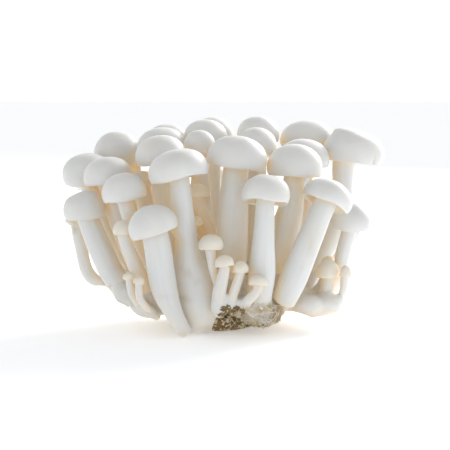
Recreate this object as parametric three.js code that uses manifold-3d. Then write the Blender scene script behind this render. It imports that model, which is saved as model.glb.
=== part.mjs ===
// A cluster of white beech mushrooms that stands on the piece of sawdust block it was broken off with.
// Millimetres, +Z up, +X to the right, +Y to the back. The origin is the middle of the flat underside.
import * as THREE from "three";
import { mergeVertices } from "three/addons/utils/BufferGeometryUtils.js";
import Module from "manifold-3d";

const wasm = await Module();
wasm.setup();

// Driving dimensions of one mushroom
const GILL_RISE = 0.28; // share of the dome's height that the gills climb from the lip to the stem
const GILL_RELIEF = 0.07; // height of a gill's ridge, as a share of the cap's radius
const LIP_ROLL = 0.93; // radius of the rolled lip, as a share of the cap's widest radius
const LIP_INNER = { share: 0.84, height: 0.07 }; // where the gills end, as shares of the radius and the dome
const NECK_FILLET = { share: 0.06, height: 0.05 }; // how far out of the neck and below its top gills start
const STRAIGHT_SHARE = 0.8; // share of the radius from which the gills stand round the cap's own middle
const WIDEST_HEIGHT = 0.26; // height of the cap's widest ring, as a share of the dome
const DOME_HEIGHTS = [0.62, 0.89]; // heights of the rings over it
const DOME_POWER = 2.3; // roundness of the dome: 2 is an ellipse, and more is squarer
const COLLAR_DROP = 0.45; // how far under the gills the stem takes its neck's width, as a share of the dome
const FOOT_ROUNDING = 0.5; // how far a stem's rounded foot reaches below it, as a share of its radius
const SOCKET_GAP = 0.3; // room between a stem and the hole that it grows from

// How finely each kind of mushroom is faceted
const FULL = { gills: 16, rim: 16, stem: 8, rings: 4 };
const SMALL = { gills: 8, rim: 8, stem: 8, rings: 3 };

const UP = new THREE.Vector3(0, 0, 1);
const vector = ([x, y, z]) => new THREE.Vector3(x, y, z);

// Every mushroom, from the front left to the back right.
// lip: middle of the cap's open edge. radius: the cap at its widest. dome: from the lip to the crown.
// lean: degrees that the cap tips to the right and to the back. neck: stem radius under the cap.
// off: how far right and back of the cap the stem stands. stem: x, y, z and radius, from the foot up.
const mushrooms = [
  {
    name: "mushroom_01", lip: [-15.5, -30, 55.7], radius: 10.7, dome: 10.3, lean: [-12, 3], neck: 3.6,
    stem: [[-8, -26.5, 3.4, 4.4], [-9.6, -26.3, 10, 7.5], [-12.1, -26.8, 19.5, 7], [-15.5, -28.3, 31, 4.6]],
  },
  {
    name: "mushroom_02", lip: [4, -18, 59], radius: 10.6, dome: 11.2, lean: [8, 0], neck: 4.3,
    stem: [[2.5, -16, 14, 4.2], [2.5, -18, 26, 5.2], [2.5, -18, 35, 5.8], [3.2, -18, 47, 5]],
  },
  {
    name: "mushroom_03", lip: [-24, -38.5, 37.5], radius: 8.55, dome: 9.8, lean: [-17, -2], neck: 4.5,
    stem: [[-14.2, -32.4, 2.4, 2.5], [-17.2, -35, 8, 3.1], [-20, -36, 15, 4], [-22, -37.5, 23, 5.4]],
  },
  {
    name: "mushroom_04", lip: [-34.9, -26, 48.1], radius: 8, dome: 9.4, lean: [-10, 0], neck: 2.9,
    stem: [[-20, -18, 13, 3.2], [-28.5, -24, 30, 3.2]],
  },
  {
    name: "mushroom_05", lip: [-50.6, 7.5, 52.1], radius: 9.6, dome: 10.5, lean: [-6, -8], neck: 3.2,
    stem: [[-29, 3, 13, 3.4], [-41, 6, 29, 3.4]],
  },
  {
    name: "mushroom_06", lip: [-41.7, -10.7, 52.4], radius: 9, dome: 9.9, lean: [-4, 0], neck: 3.4,
    stem: [[-27, -8, 14, 3.6], [-35, -9, 30, 3.8]],
  },
  {
    name: "mushroom_07", lip: [-40.8, 21.5, 60.2], radius: 8.8, dome: 9.8, lean: [0, -26], neck: 3.2,
    stem: [[-22, 8, 14, 3.4], [-32, 15, 34, 3.4]],
  },
  {
    name: "mushroom_08", lip: [-22.6, -12, 60.2], radius: 9.3, dome: 9.9, lean: [-8, 0], neck: 3.2,
    stem: [[-14, -9, 15, 3.5], [-20, -11.5, 36, 3.4]],
  },
  {
    name: "mushroom_09", lip: [-23.1, 7.5, 62.2], radius: 9.3, dome: 10, lean: [-3, 0], neck: 3.1,
    stem: [[-13, 4, 17, 3.4], [-20, 5, 38, 3.3]],
  },
  {
    name: "mushroom_10", lip: [-21.9, 26, 63.3], radius: 8.6, dome: 9.5, lean: [0, 6], neck: 3,
    stem: [[-11, 13, 17, 3.2], [-18, 19, 38, 3.2]],
  },
  {
    name: "mushroom_11", lip: [-9.2, -2, 64], radius: 5.8, dome: 7.6, lean: [0, -18], neck: 2.7,
    stem: [[-5, -3, 17, 3], [-8, -1, 40, 2.9]],
  },
  {
    name: "mushroom_12", lip: [-7.2, 13, 66], radius: 8.1, dome: 9, lean: [-2, 2], neck: 2.9,
    stem: [[-4, 6, 17, 3.2], [-10.8, 10, 40, 3.4]],
  },
  {
    name: "mushroom_13", lip: [-4.7, 31, 66.3], radius: 8.2, dome: 9, lean: [2, 8], neck: 2.9,
    stem: [[-3, 16, 16, 3.2], [-4, 25, 38, 3.1]],
  },
  {
    name: "mushroom_14", lip: [-50.1, -14, 40.9], radius: 7.8, dome: 9.6, lean: [-3, -6],
    neck: 4, off: [1.4, 0],
    stem: [[-31, -12.5, 10, 3.6], [-39.5, -13, 19, 4.3], [-44.4, -14, 29, 4.4]],
  },
  {
    name: "mushroom_15", lip: [14, -34, 47.6], radius: 8.4, dome: 9.8, lean: [4, 12], neck: 3.3,
    stem: [[11.5, -26, 9, 4], [12.9, -30, 19.4, 4.8], [12.9, -33, 29, 4], [14, -34.5, 39, 3.6]],
  },
  {
    name: "mushroom_16", lip: [24.9, -15, 55.8], radius: 10, dome: 11.3, lean: [3, 0], neck: 3.8,
    stem: [[17, -12, 13, 3.5], [21.5, -15, 30, 3.9], [24.2, -15, 43, 3.9]],
  },
  {
    name: "mushroom_17", lip: [28.9, 4, 58.1], radius: 9.3, dome: 10, lean: [4, 0], neck: 3.3,
    stem: [[17, 2, 15, 3.5], [20.5, 4, 33, 3.7], [24, 4, 44, 3.6]],
  },
  {
    name: "mushroom_18", lip: [35.2, -26, 46.3], radius: 8.9, dome: 9, lean: [24, 15], neck: 3.9,
    stem: [[21.3, -23.3, 12.5, 4.2], [23.7, -24.5, 18.5, 4.9], [27.3, -26, 27, 4.8], [31, -27, 37, 4.2]],
  },
  {
    name: "mushroom_19", lip: [47.7, 11, 59.2], radius: 11.5, dome: 12.7, lean: [6, 0],
    neck: 4, off: [-3.4, 0],
    stem: [[28, 8, 11, 3.7], [38.5, 12, 28, 3.9], [43.5, 12, 42, 4]],
  },
  {
    name: "mushroom_20", lip: [45.6, -5, 36.8], radius: 8, dome: 8.4, lean: [8, -14], neck: 2.8,
    stem: [[34, -3, 8, 2.8], [41, -4, 18, 2.6], [43.2, -4.5, 27, 2.7]],
  },
  {
    name: "mushroom_21", lip: [31.6, 24, 63.9], radius: 10.7, dome: 10.5, lean: [4, 4], neck: 3.6,
    stem: [[17, 13, 16, 3.6], [26, 20, 36, 3.6]],
  },
  {
    name: "mushroom_22", lip: [12.5, 19, 66.5], radius: 7.9, dome: 9.5, lean: [2, 3], neck: 3,
    stem: [[7, 10, 17, 3.3], [11, 15, 40, 3.1]],
  },
  {
    name: "mushroom_23", lip: [11.6, 1.5, 62.9], radius: 7.5, dome: 9.5, lean: [2, 0], neck: 3.1,
    stem: [[8, 0, 17, 3.3], [12, 1, 42, 3.6]],
  },
  {
    name: "mushroom_24", lip: [48.8, 19.6, 33.3], radius: 6.5, dome: 8.2, lean: [12, 8], neck: 2.8,
    stem: [[30, 15.5, 8, 2.7], [40, 19, 20, 2.8]],
  },
  {
    name: "mushroom_25", lip: [-36, 35.5, 56.5], radius: 8.2, dome: 9, lean: [-6, 8], neck: 3.1,
    stem: [[-20, 17.5, 13, 3.3], [-29, 27, 34, 3.2]],
  },
  {
    name: "mushroom_26", lip: [-20, 43, 58], radius: 7.5, dome: 8.5, lean: [-3, 10], neck: 2.9,
    stem: [[-11, 21, 14, 3.1], [-16, 31, 34, 3]],
  },
  {
    name: "mushroom_27", lip: [-49.5, 24.5, 48.6], radius: 7.5, dome: 8.6, lean: [-8, 6], neck: 2.9,
    stem: [[-28, 15, 12, 3.1], [-40, 20, 28, 3.1]],
  },
  {
    name: "mushroom_28", lip: [12.5, 37, 60], radius: 8.3, dome: 9, lean: [3, 8], neck: 3,
    stem: [[5, 20, 15, 3.2], [9, 29, 36, 3.1]],
  },
  {
    name: "mushroom_29", lip: [29, 42, 53], radius: 8, dome: 8.8, lean: [5, 10], neck: 3,
    stem: [[13, 22, 13, 3.2], [21, 33, 30, 3.1]],
  },
  {
    name: "mushroom_30", lip: [47.5, 33, 58.2], radius: 8, dome: 9, lean: [6, 8], neck: 3.1,
    stem: [[25, 16, 13, 3.2], [38, 24, 33, 3.2]],
  },
  {
    name: "mushroom_31", lip: [-4.5, 46, 48], radius: 7, dome: 8, lean: [-2, 14], neck: 2.8,
    stem: [[-3, 25, 12, 3], [-4, 37, 28, 2.9]],
  },
];

const buttons = [
  {
    name: "button_01", lip: [-35, -31.5, 36.5], radius: 3.8, dome: 5, lean: [-5, 0], neck: 2.2,
    stem: [[-22, -26, 9, 2.4], [-26, -28.5, 15, 2.8], [-31, -31, 24, 2.6]],
  },
  {
    name: "button_02", lip: [-54.9, -8, 37.7], radius: 3, dome: 3.6, lean: [-12, 0], neck: 2.2, off: [1, 0],
    stem: [[-37, -5.5, 12, 2], [-45.5, -7.5, 15.6, 2.3], [-50, -8, 20.5, 2.4], [-51.5, -8, 27, 2.4]],
  },
  {
    name: "button_03", lip: [-33, -36.5, 21.4], radius: 2.2, dome: 2.4, lean: [-4, 0], neck: 1.3,
    stem: [[-27.5, -27.5, 8, 1.4], [-31.8, -34.5, 15, 1.4]],
  },
  {
    name: "button_04", lip: [-29.6, -39.5, 20.1], radius: 1.9, dome: 2.6, lean: [4, 0], neck: 1.2,
    stem: [[-24, -28.5, 7, 1.4], [-29, -37.5, 14, 1.3]],
  },
  {
    name: "button_05", lip: [-4.8, -36.5, 31.8], radius: 4.3, dome: 5.1, lean: [0, 0], neck: 1.9,
    stem: [[0, -28, 12, 1.6], [-3.8, -36, 24, 1.5]],
  },
  {
    name: "button_06", lip: [0, -40, 26.3], radius: 3.4, dome: 3.8, lean: [-8, 0], neck: 1.7,
    stem: [[-2, -33, 9, 2], [-2.2, -37, 14.6, 2.4], [-1.4, -39.5, 20, 2.4]],
  },
  {
    name: "button_07", lip: [5.2, -38, 23.9], radius: 3, dome: 4, lean: [0, 0], neck: 1.6,
    stem: [[2, -31, 10, 1.6], [2.6, -36, 14.8, 1.7]],
  },
  {
    name: "button_08", lip: [11.4, -39.5, 19.5], radius: 3.3, dome: 3.6, lean: [4, 10], neck: 1.6,
    stem: [[6.5, -32.5, 11.5, 1.7], [7, -37, 13.4, 1.8], [10.2, -39.3, 15.4, 1.7]],
  },
  {
    name: "button_09", lip: [-11.3, -14.5, 37.9], radius: 3.4, dome: 3.6, lean: [0, 0], neck: 1.5,
    stem: [[-8, -10.2, 15, 1.5], [-12.8, -12.6, 28, 1.5]],
  },
  {
    name: "button_10", lip: [-10.2, -9, 47.7], radius: 5, dome: 4.8, lean: [0, 0], neck: 2.4,
    stem: [[-1, -8, 16, 2.6], [-5, -9, 34, 2.5]],
  },
  {
    name: "button_11", lip: [37.5, -10, 18.8], radius: 4.2, dome: 6, lean: [-5, 0], neck: 2.4,
    stem: [[35, -9, 6, 2.4]],
  },
  {
    name: "button_12", lip: [38, 1.5, 19.8], radius: 3.1, dome: 5.2, lean: [4, 0], neck: 1.9,
    stem: [[32.5, 2, 7, 2]],
  },
  {
    name: "button_13", lip: [43.4, -13, 19.2], radius: 2.2, dome: 4.2, lean: [6, 0], neck: 1.5,
    stem: [[40, -5.5, 7, 1.3], [42.4, -11.5, 12.5, 1.4]],
  },
  {
    name: "button_14", lip: [-24, 36, 33], radius: 3.8, dome: 4.4, lean: [-8, 14], neck: 1.9,
    stem: [[-14, 22, 10, 2], [-21, 32, 20, 2]],
  },
  {
    name: "button_15", lip: [6, 43, 28], radius: 3.6, dome: 4, lean: [4, 12], neck: 1.8,
    stem: [[3, 25, 9, 1.9], [5.5, 38, 17, 1.8]],
  },
  {
    name: "button_16", lip: [-47, 13, 31], radius: 3.9, dome: 4.6, lean: [-12, 4], neck: 2,
    stem: [[-30, 8, 9, 2.1], [-41, 11.5, 19, 2]],
  },
  {
    name: "button_17", lip: [33, 31, 33], radius: 4.2, dome: 5, lean: [10, 10], neck: 2.1,
    stem: [[17, 19, 10, 2.2], [28, 27, 20, 2.1]],
  },
  {
    name: "button_18", lip: [-33, 33, 20.5], radius: 2.8, dome: 3.4, lean: [-10, 10], neck: 1.5,
    stem: [[-20, 20, 8, 1.7], [-29, 29, 13, 1.6]],
  },
  {
    name: "button_19", lip: [-30.4, 9, 50], radius: 4.4, dome: 6, lean: [-4, 6], neck: 2.3,
    stem: [[-20, 0, 14, 2.4], [-26, 4, 32, 2.6]],
  },
  {
    name: "button_20", lip: [31.8, 9.6, 46], radius: 4, dome: 5.2, lean: [4, 4], neck: 2,
    stem: [[21.5, 7.6, 13.5, 2.2], [29, 8, 33, 2.4]],
  },
];

// A stem that was torn off under its cap, from the foot up: x, y, z and radius
const tornStem = [
  [-3.8, -14.8, 10, 3.2], [-6.9, -16, 18, 3.8], [-9.6, -17.4, 26, 3.7], [-10.8, -18, 33, 2.3],
];
const TORN_EDGE = 1.1; // how far the torn edge rises and falls

// The fused foot that all the stems grow from, seen from above and anticlockwise from the front left.
// Each place is x, y, the height of its underside and the height of its shoulder.
const footEdge = [
  [-20, -30.5, 7.5, 10], [-13, -24, 7.3, 12], [0, -22.5, 7.3, 13], [10, -28, 4.6, 12], [19, -24, 4.8, 13],
  [25.5, -15, 7, 12], [36, -15, 4, 9.5], [42, -12, 4.5, 9], [43, -3, 5.5, 10], [37, 9, 6.5, 11],
  [31, 19, 7, 12], [18, 27, 7, 12], [3, 31, 7, 12], [-12, 28, 7, 12], [-25, 21, 7, 12],
  [-35, 9, 7.5, 12.5], [-39, -5, 9, 14], [-36, -17, 8.5, 13], [-31, -28.5, 7, 11],
];
const FOOT_CROWN = 17; // height of the fused foot's middle
const FOOT_FLOOR = 7; // height of the flat part of its underside, which the sawdust sticks to
const FOOT_SIDES = 38;
const FLAT_SHARE = 0.62; // width of the flat part of the underside, as a share of the whole
const UNDER_SHARE = 0.88; // width at which the underside turns up into the side
const SHOULDER = { share: 0.93, drop: 2.2 }; // the rounded upper edge of the side
const SLOPE_SHARE = 0.6; // width at which the top is halfway from the shoulder to the crown

// The piece of sawdust block under it, seen from above
const blockEdge = [
  [-9, -17.5], [-2, -20.5], [4, -18], [9, -12], [13, -4], [16, 6],
  [13, 17], [4, 23], [-8, 23], [-16, 15], [-19, 2], [-16, -11],
];
const BLOCK_SIDES = 33;
const BLOCK_HEIGHT = FOOT_FLOOR - SOCKET_GAP;
const BLOCK_ROUGHNESS = 0.7; // how far its crumbly side goes in and out
const BLOCK_WAVES = [2.4, 5.1]; // how fast the two waves of that crumbling turn from one side to the next
// Its levels from the floor up: height, width as a share of the edge, and the start of its crumbling
const blockLevels = [
  [0, 0.86], [1.4, 0.95, 1], [3.4, 1, 2], [BLOCK_HEIGHT - 0.8, 0.97, 3], [BLOCK_HEIGHT, 0.88],
];

// The direction in which a cap points
function capAxis({ lean: [right, back] }) {
  const slope = (degrees) => Math.tan(THREE.MathUtils.degToRad(degrees));
  return new THREE.Vector3(slope(right), slope(back), 1).normalize();
}

// The stem's middle line, from its foot to the gills, with its radius
function stemLine(shape) {
  const axis = capAxis(shape);
  const [right, back] = shape.off ?? [0, 0];
  const neck = vector(shape.lip).addScaledVector(axis, GILL_RISE * shape.dome).add(vector([right, back, 0]));
  const collar = neck.clone().addScaledVector(axis, -COLLAR_DROP * shape.dome);
  const points = [...shape.stem.map(vector), collar, neck];
  const radii = [...shape.stem.map((point) => point[3]), shape.neck, shape.neck];
  const curve = new THREE.CatmullRomCurve3(points, false, "centripetal");
  const radiusAt = (t) => {
    const place = t * (radii.length - 1);
    const below = Math.min(Math.floor(place), radii.length - 2);
    return THREE.MathUtils.lerp(radii[below], radii[below + 1], place - below);
  };
  return { axis, neck, curve, radiusAt };
}

// The closing point of a stem, a little below its lowest ring
function roundedFoot(ring) {
  const middle = ring.middle.clone().addScaledVector(ring.facing, -FOOT_ROUNDING * ring.radius);
  return { ...ring, middle, radius: 0 };
}

// The rings of a mushroom from foot to crown: each has a middle, a direction, a radius and a number of sides
function mushroomRings(shape, detail) {
  const { axis, neck, curve, radiusAt } = stemLine(shape);
  const rings = [];
  for (let k = 0; k <= detail.rings; k++) {
    const t = k / detail.rings;
    const [middle, facing] = [curve.getPoint(t), curve.getTangent(t)];
    rings.push({ middle, facing, radius: radiusAt(t), sides: detail.stem });
  }
  rings.unshift(roundedFoot(rings[0]));

  const lip = vector(shape.lip);
  const cap = (share, height, sides, relief = 0) => {
    const outside = share * shape.radius - shape.neck;
    const spread = THREE.MathUtils.clamp(outside / (STRAIGHT_SHARE * shape.radius - shape.neck), 0, 1);
    const middle = neck.clone().addScaledVector(axis, -GILL_RISE * shape.dome).lerp(lip, spread);
    middle.addScaledVector(axis, height * shape.dome);
    rings.push({ middle, facing: axis, radius: share * shape.radius, sides, relief });
  };
  const relief = GILL_RELIEF * shape.radius;
  const gillStart = shape.neck / shape.radius + NECK_FILLET.share;
  cap(gillStart, GILL_RISE - NECK_FILLET.height, 2 * detail.gills, relief);
  cap(LIP_INNER.share, LIP_INNER.height, 2 * detail.gills, relief);
  cap(LIP_ROLL, 0, detail.rim);
  cap(1, WIDEST_HEIGHT, detail.rim);
  for (const height of DOME_HEIGHTS) {
    const climb = (height - WIDEST_HEIGHT) / (1 - WIDEST_HEIGHT);
    cap((1 - climb ** DOME_POWER) ** (1 / DOME_POWER), height, detail.rim);
  }
  cap(0, 1, detail.rim);
  return rings;
}

// One closed skin over a list of rings. A lathe gives its faces, and each ring is then moved to its place.
function skinOver(rings, segments) {
  const profile = rings.map(({ radius }, height) => new THREE.Vector2(radius, height));
  const lathe = new THREE.LatheGeometry(profile, segments);
  const position = lathe.getAttribute("position");
  for (let index = 0; index < position.count; index++) {
    const ring = rings[index % rings.length];
    const step = Math.floor(index / rings.length);
    const share = segments / ring.sides;
    const angle = (Math.round(step / share) * share * 2 * Math.PI) / segments;
    const ridge = ring.relief ? ring.relief * (step % 2 ? -0.5 : 0.5) : 0;
    const point = new THREE.Vector3(Math.sin(angle) * ring.radius, -Math.cos(angle) * ring.radius, ridge);
    point.applyQuaternion(new THREE.Quaternion().setFromUnitVectors(UP, ring.facing)).add(ring.middle);
    position.setXYZ(index, point.x, point.y, point.z);
  }
  return tidy(lathe);
}

// Shared vertices merged, and the faces dropped that closed up to nothing
function tidy(geometry) {
  const bare = new THREE.BufferGeometry();
  bare.setAttribute("position", geometry.getAttribute("position"));
  bare.setIndex(geometry.index);
  const merged = mergeVertices(bare, 1e-4);
  const corners = merged.index.array;
  const kept = [];
  for (let i = 0; i < corners.length; i += 3) {
    const [a, b, c] = corners.slice(i, i + 3);
    if (a !== b && b !== c && c !== a) kept.push(a, b, c);
  }
  merged.setIndex(kept);
  return merged;
}

// The same skin as a manifold solid, and back as a geometry
function solidOf(geometry) {
  const vertProperties = new Float32Array(geometry.getAttribute("position").array);
  const triVerts = new Uint32Array(geometry.index.array);
  return new wasm.Manifold(new wasm.Mesh({ numProp: 3, vertProperties, triVerts }));
}

function geometryOf(solid) {
  const { vertProperties, triVerts } = solid.getMesh();
  const geometry = new THREE.BufferGeometry();
  geometry.setAttribute("position", new THREE.BufferAttribute(vertProperties, 3));
  geometry.setIndex(new THREE.BufferAttribute(triVerts, 1));
  return geometry;
}

const flesh = new THREE.MeshStandardMaterial({ color: 0xe9e7e1, roughness: 0.55, metalness: 0 });
const myceliumSkin = new THREE.MeshStandardMaterial({ color: 0xdcd7cc, roughness: 0.8, metalness: 0 });
const sawdust = new THREE.MeshStandardMaterial({ color: 0x8a7450, roughness: 0.95, metalness: 0 });

// A stem without a cap, whose upper end is a ragged edge round a shallow hollow
function tornStemRings() {
  const curve = new THREE.CatmullRomCurve3(tornStem.map(vector), false, "centripetal");
  const rings = tornStem.map((point, k) => {
    const t = k / (tornStem.length - 1);
    return { middle: curve.getPoint(t), facing: curve.getTangent(t), radius: point[3], sides: FULL.stem };
  });
  const top = rings.at(-1);
  top.relief = TORN_EDGE;
  const hollow = top.middle.clone().addScaledVector(top.facing, -TORN_EDGE);
  rings.unshift(roundedFoot(rings[0]));
  rings.push({ ...top, middle: hollow, radius: 0, relief: 0 });
  return rings;
}

// A closed curve through hand-placed points, sampled evenly: each sample holds x, y and a height
function edgeLoop(points, heightIndex, count) {
  const places = points.map((p) => new THREE.Vector3(p[0], p[1], p[heightIndex] ?? 0));
  const curve = new THREE.CatmullRomCurve3(places, true);
  return Array.from({ length: count }, (_, k) => curve.getPoint(k / count));
}

// A closed skin over loops of points stacked from the underside's middle to the top's middle
function skinOfLoops(loops, bottom, top) {
  const count = loops[0].length;
  const profile = [0, ...loops.map(() => 1), 0].map((radius, height) => new THREE.Vector2(radius, height));
  const lathe = new THREE.LatheGeometry(profile, count);
  const position = lathe.getAttribute("position");
  for (let index = 0; index < position.count; index++) {
    const level = index % profile.length;
    const step = Math.floor(index / profile.length) % count;
    const point = level === 0 ? bottom : level === profile.length - 1 ? top : loops[level - 1][step];
    position.setXYZ(index, point.x, point.y, point.z);
  }
  return tidy(lathe);
}

// Loops between an edge and a middle: share 1 is the edge itself
const drawnIn = (loop, middle, share, height) =>
  loop.map((p) => new THREE.Vector3(
    THREE.MathUtils.lerp(middle.x, p.x, share), THREE.MathUtils.lerp(middle.y, p.y, share), height(p)));

function stemFoot() {
  const under = edgeLoop(footEdge, 2, FOOT_SIDES);
  const shoulder = edgeLoop(footEdge, 3, FOOT_SIDES);
  const bottom = new THREE.Vector3(0, 0, FOOT_FLOOR);
  const top = new THREE.Vector3(0, 0, FOOT_CROWN);
  const loops = [
    drawnIn(under, bottom, FLAT_SHARE, () => FOOT_FLOOR),
    drawnIn(under, bottom, UNDER_SHARE, (p) => p.z),
    drawnIn(shoulder, top, 1, (p) => p.z - SHOULDER.drop),
    drawnIn(shoulder, top, SHOULDER.share, (p) => p.z),
    drawnIn(shoulder, top, SLOPE_SHARE, (p) => (p.z + FOOT_CROWN) / 2),
  ];
  return skinOfLoops(loops, bottom, top);
}

function sawdustBlock() {
  const edge = edgeLoop(blockEdge, 2, BLOCK_SIDES);
  const bottom = new THREE.Vector3(0, 0, 0);
  const top = new THREE.Vector3(0, 0, BLOCK_HEIGHT);
  const loops = blockLevels.map(([height, share, start]) => {
    const level = drawnIn(edge, bottom, share, () => height);
    if (!start) return level;
    return level.map((p, k) => {
      const [slow, quick] = BLOCK_WAVES;
      const crumbling = Math.sin(k * slow + start) * Math.cos(k * quick - start);
      const swing = 1 + (BLOCK_ROUGHNESS / p.length()) * crumbling;
      return new THREE.Vector3(p.x * swing, p.y * swing, p.z);
    });
  });
  return skinOfLoops(loops, bottom, top);
}

// The biggest single body of a solid, without the crumbs that a cut leaves
function mainBody(solid) {
  return solid.decompose().sort((a, b) => b.volume() - a.volume())[0];
}

// The foot with a socket for each stem, a little wider than the stem all round
function withSockets(foot, stems) {
  const sockets = stems.map((rings) => {
    const widened = (radius) => (radius > 0 ? radius + SOCKET_GAP : 0);
    const wider = rings.map((ring) => ({ ...ring, radius: widened(ring.radius), relief: 0 }));
    wider[0].middle = rings[0].middle.clone().addScaledVector(rings[0].facing, -SOCKET_GAP);
    return solidOf(skinOver(wider, 2 * FULL.gills));
  });
  return geometryOf(mainBody(sockets.reduce((rest, socket) => rest.subtract(socket), solidOf(foot))));
}

const cluster = new THREE.Group();

function add(name, geometry, material) {
  geometry.computeVertexNormals();
  const mesh = new THREE.Mesh(geometry, material);
  mesh.name = name;
  cluster.add(mesh);
}

const fullRings = mushrooms.map((shape) => mushroomRings(shape, FULL));
const smallRings = buttons.map((shape) => mushroomRings(shape, SMALL));
const tornRings = tornStemRings();

mushrooms.forEach(({ name }, k) => add(name, skinOver(fullRings[k], 2 * FULL.gills), flesh));
buttons.forEach(({ name }, k) => add(name, skinOver(smallRings[k], 2 * SMALL.gills), flesh));
add("torn_stem", skinOver(tornRings, 2 * FULL.stem), flesh);
add("stem_foot", withSockets(stemFoot(), [...fullRings, ...smallRings, tornRings]), myceliumSkin);
add("sawdust_block", sawdustBlock(), sawdust);

export default cluster;
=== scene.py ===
import collections
import functools
import math
import random

import bmesh
import bpy
import numpy as np
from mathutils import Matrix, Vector, noise
from mathutils.bvhtree import BVHTree


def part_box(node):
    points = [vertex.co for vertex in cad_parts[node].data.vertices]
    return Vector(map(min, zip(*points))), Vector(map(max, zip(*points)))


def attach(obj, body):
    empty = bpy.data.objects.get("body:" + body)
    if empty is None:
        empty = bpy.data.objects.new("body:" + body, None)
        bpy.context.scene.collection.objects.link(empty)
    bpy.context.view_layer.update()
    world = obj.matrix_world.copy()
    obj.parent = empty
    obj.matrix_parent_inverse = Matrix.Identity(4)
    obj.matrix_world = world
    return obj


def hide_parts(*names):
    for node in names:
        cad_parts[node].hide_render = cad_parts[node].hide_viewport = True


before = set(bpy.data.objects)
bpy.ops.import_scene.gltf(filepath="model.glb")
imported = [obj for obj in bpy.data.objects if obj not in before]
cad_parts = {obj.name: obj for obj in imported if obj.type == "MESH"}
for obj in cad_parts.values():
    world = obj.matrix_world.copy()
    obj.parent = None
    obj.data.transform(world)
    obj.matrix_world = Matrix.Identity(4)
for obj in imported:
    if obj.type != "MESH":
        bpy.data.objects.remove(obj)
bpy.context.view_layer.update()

MM = 0.001


# Camera
# A long lens at table height, looking slightly down, as the photograph was taken.
CAMERA_PLACE = (0.1 * MM, -592.6 * MM, 93.9 * MM)
AIM = (0.1 * MM, 0, 36.6 * MM)
LENS = 129.6

bpy.ops.object.camera_add(location=CAMERA_PLACE)
camera = bpy.context.object
camera.name = "camera"
camera.data.lens = LENS
camera.rotation_euler = (Vector(AIM) - Vector(CAMERA_PLACE)).to_track_quat("-Z", "Y").to_euler()
bpy.context.scene.camera = camera


# Floor and light
# A white table top that runs back out of sight, under a white sky that is brightest at the horizon.
# Two broad soft lamps stand low at the front, so the caps are lightest near their lips, and one stands
# behind.
FLOOR_SIZE = 8.0
FLOOR_DROP = 0.05 * MM  # the floor lies a hair under the block, so that the two faces don't fight
FLOOR_WHITE = (0.92, 0.94, 0.965)
FLOOR_GLOW = 0.28
HORIZON_LIGHT, ZENITH_LIGHT = 1.16, 0.60
HORIZON_RISE, ZENITH_RISE = 0.05, 0.9  # the heights in the sky, from 0 to 1, that have these lights
FRONT_SHARE = 0.87  # the sky behind the camera is dimmer, so the far edges of the caps shine
FRONT_END, BACK_START = -0.4, 0.2  # the sky brightens between these, from -1 in front to 1 behind
WHITE = (1, 1, 1)


def feed(node, inputs):
    """Sets each named input of a shader node to a value, or links it from another node's output"""
    for name, value in inputs.items():
        socket = node.inputs[name]
        if isinstance(value, bpy.types.NodeSocket):
            node.id_data.links.new(value, socket)
        else:
            socket.default_value = (*value, 1) if socket.type == "RGBA" else value


def add_node(tree, kind, output, inputs, **settings):
    """A new shader node with its settings and inputs, as the output socket that is used of it"""
    node = tree.nodes.new("ShaderNode" + kind)
    for setting, value in settings.items():
        setattr(node, setting, value)
    feed(node, inputs)
    return node.outputs[output]


def fade(tree, value, start, end, at_start, at_end):
    """A number that goes from at_start to at_end while a value goes from start to end"""
    scale = {"Value": value, "From Min": start, "From Max": end, "To Min": at_start, "To Max": at_end}
    return add_node(tree, "MapRange", "Result", scale)


def calculate(tree, operation, *values):
    """A sum on the values, each a number or an output socket"""
    return add_node(tree, "Math", "Value", dict(enumerate(values)), operation=operation)


def new_finish(name, inputs):
    """A material, its node tree and its shader, with the shader's own values"""
    finish = bpy.data.materials.new(name)
    finish.use_nodes = True
    shader = finish.node_tree.nodes["Principled BSDF"]
    feed(shader, inputs)
    return finish, finish.node_tree, shader


bpy.ops.mesh.primitive_plane_add(size=FLOOR_SIZE, location=(0, 0, -FLOOR_DROP))
floor = bpy.context.object
floor.name = "floor"
table_finish, _, _ = new_finish("white_table", {
    "Base Color": FLOOR_WHITE, "Roughness": 0.9, "Emission Color": WHITE, "Emission Strength": FLOOR_GLOW})
floor.data.materials.append(table_finish)

sky = bpy.data.worlds.new("white_sky")
sky.use_nodes = True
bpy.context.scene.world = sky
sky_side = add_node(sky.node_tree, "TexCoord", "Generated", {})
rise = add_node(sky.node_tree, "SeparateXYZ", "Z", {"Vector": sky_side})
backward = add_node(sky.node_tree, "SeparateXYZ", "Y", {"Vector": sky_side})
sky_fade = fade(sky.node_tree, rise, HORIZON_RISE, ZENITH_RISE, HORIZON_LIGHT, ZENITH_LIGHT)
sky_front = fade(sky.node_tree, backward, FRONT_END, BACK_START, FRONT_SHARE, 1)
sky_light = calculate(sky.node_tree, "MULTIPLY", sky_fade, sky_front)
feed(sky.node_tree.nodes["Background"], {"Color": WHITE, "Strength": sky_light})
bpy.context.scene.view_settings.view_transform = "Standard"


def soft_lamp(name, place, aim, size, power):
    """A square area lamp, its distances in millimetres and its power in watts"""
    bpy.ops.object.light_add(type="AREA", location=Vector(place) * MM)
    lamp = bpy.context.object
    lamp.name = name
    lamp.data.size = size * MM
    lamp.data.energy = power
    lamp.rotation_euler = ((Vector(aim) - Vector(place)) * MM).to_track_quat("-Z", "Y").to_euler()


soft_lamp("lamp_front_left", (-420, -620, 260), (0, 0, 40), 420, 0.22)
soft_lamp("lamp_front_right", (460, -560, 220), (0, 0, 40), 420, 0.18)
soft_lamp("lamp_back", (420, 560, 380), (0, 0, 60), 360, 8.0)


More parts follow.
